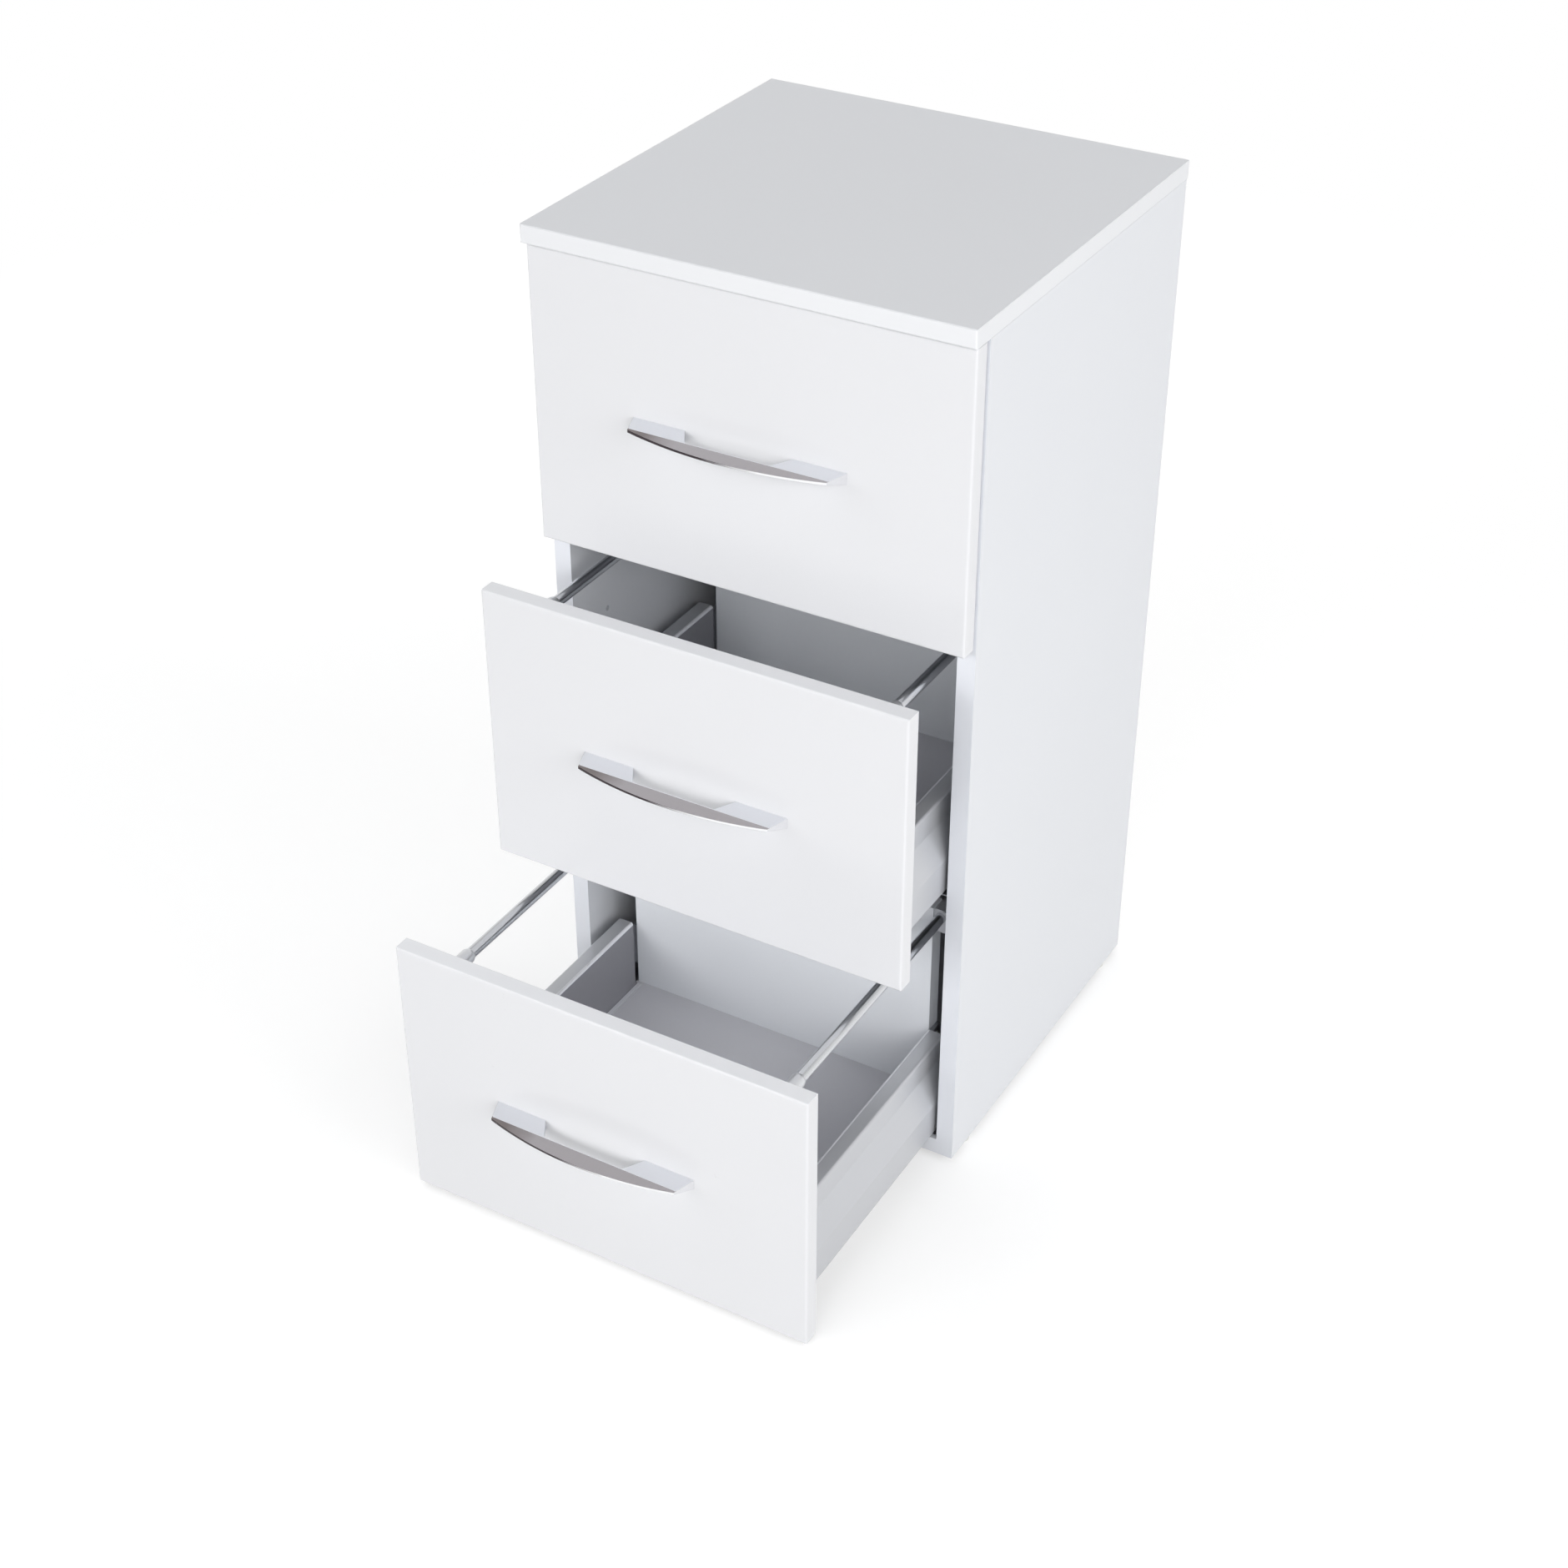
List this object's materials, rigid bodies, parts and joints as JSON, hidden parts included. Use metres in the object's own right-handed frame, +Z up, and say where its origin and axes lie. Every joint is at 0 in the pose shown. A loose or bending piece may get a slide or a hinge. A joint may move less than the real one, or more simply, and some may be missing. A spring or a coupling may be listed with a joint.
{
  "type": "bathroom cabinet",
  "caption": "Free-standing white gloss bathroom base cabinet with stacked pull-out drawers on steel sides, gallery rails and bow handles.",
  "frame": {"origin": "middle of the carcase's underside, level with the lower edges of the side panels", "axes": "+X to the right seen from the front, -Y to the front where the drawers open, +Z up"},
  "size_m": [0.4, 0.6615, 0.819],
  "materials": {
    "carcase_board": "white melamine",
    "top_board": "white melamine",
    "gloss_front": "high gloss white foil",
    "drawer_board": "white melamine",
    "back_fibreboard": "white painted fibreboard",
    "side_steel": "light grey powder coat",
    "rail_steel": "satin nickel",
    "rail_fitting": "satin grey",
    "runner_steel": "zinc plated",
    "screw_steel": "zinc plated",
    "zinc": "cast zinc",
    "dowel_wood": "beech",
    "handle_chrome": "polished chrome",
    "glide_plastic": "moulded"
  },
  "bodies": {
    "carcase": {"side_panel_left": "carcase_board", "side_panel_right": "carcase_board", "top_panel": "top_board", "bottom_panel": "carcase_board", "back_panel": "back_fibreboard", "cam_locks": "zinc", "cam_bolts": "screw_steel", "dowels": "dowel_wood", "back_nails": "screw_steel", "glides": "glide_plastic", "runner_screws": "screw_steel", "runner_1_fixed": "runner_steel", "runner_2_fixed": "runner_steel", "runner_3_fixed": "runner_steel"},
    "drawer_1": {"drawer_1_front": "gloss_front", "drawer_1_handle": "handle_chrome", "drawer_1_handle_screws": "screw_steel", "drawer_1_side_left": "side_steel", "drawer_1_side_right": "side_steel", "drawer_1_floor": "drawer_board", "drawer_1_back": "drawer_board", "drawer_1_gallery_rails": "rail_steel", "drawer_1_rail_sockets": "rail_fitting", "drawer_1_rail_holders": "rail_fitting", "drawer_1_brackets": "runner_steel", "drawer_1_screws": "screw_steel", "drawer_1_runner": "runner_steel"},
    "runner_1": {"runner_1_middle": "runner_steel"},
    "drawer_2": {"drawer_2_front": "gloss_front", "drawer_2_handle": "handle_chrome", "drawer_2_handle_screws": "screw_steel", "drawer_2_side_left": "side_steel", "drawer_2_side_right": "side_steel", "drawer_2_floor": "drawer_board", "drawer_2_back": "drawer_board", "drawer_2_gallery_rails": "rail_steel", "drawer_2_rail_sockets": "rail_fitting", "drawer_2_rail_holders": "rail_fitting", "drawer_2_brackets": "runner_steel", "drawer_2_screws": "screw_steel", "drawer_2_runner": "runner_steel"},
    "runner_2": {"runner_2_middle": "runner_steel"},
    "drawer_3": {"drawer_3_front": "gloss_front", "drawer_3_handle": "handle_chrome", "drawer_3_handle_screws": "screw_steel", "drawer_3_side_left": "side_steel", "drawer_3_side_right": "side_steel", "drawer_3_floor": "drawer_board", "drawer_3_back": "drawer_board", "drawer_3_gallery_rails": "rail_steel", "drawer_3_rail_sockets": "rail_fitting", "drawer_3_rail_holders": "rail_fitting", "drawer_3_brackets": "runner_steel", "drawer_3_screws": "screw_steel", "drawer_3_runner": "runner_steel"},
    "runner_3": {"runner_3_middle": "runner_steel"}
  },
  "joints": [
    {"name": "drawer_1_slide", "type": "slide", "parent": "carcase", "child": "drawer_1", "axis": [0, -1, 0], "range_m": [0, 0.3]},
    {"name": "runner_1_slide", "type": "slide", "parent": "carcase", "child": "runner_1", "axis": [0, -1, 0], "range_m": [0, 0.15]},
    {"name": "drawer_2_slide", "type": "slide", "parent": "carcase", "child": "drawer_2", "axis": [0, -1, 0], "range_m": [-0.091, 0.209]},
    {"name": "runner_2_slide", "type": "slide", "parent": "carcase", "child": "runner_2", "axis": [0, -1, 0], "range_m": [-0.0455, 0.1045]},
    {"name": "drawer_3_slide", "type": "slide", "parent": "carcase", "child": "drawer_3", "axis": [0, -1, 0], "range_m": [-0.243, 0.057]},
    {"name": "runner_3_slide", "type": "slide", "parent": "carcase", "child": "runner_3", "axis": [0, -1, 0], "range_m": [-0.1215, 0.0285]}
  ],
  "couplings": [
    {"joint": "runner_1_slide", "follows": "drawer_1_slide", "ratio": 0.5},
    {"joint": "runner_2_slide", "follows": "drawer_2_slide", "ratio": 0.5},
    {"joint": "runner_3_slide", "follows": "drawer_3_slide", "ratio": 0.5}
  ]
}
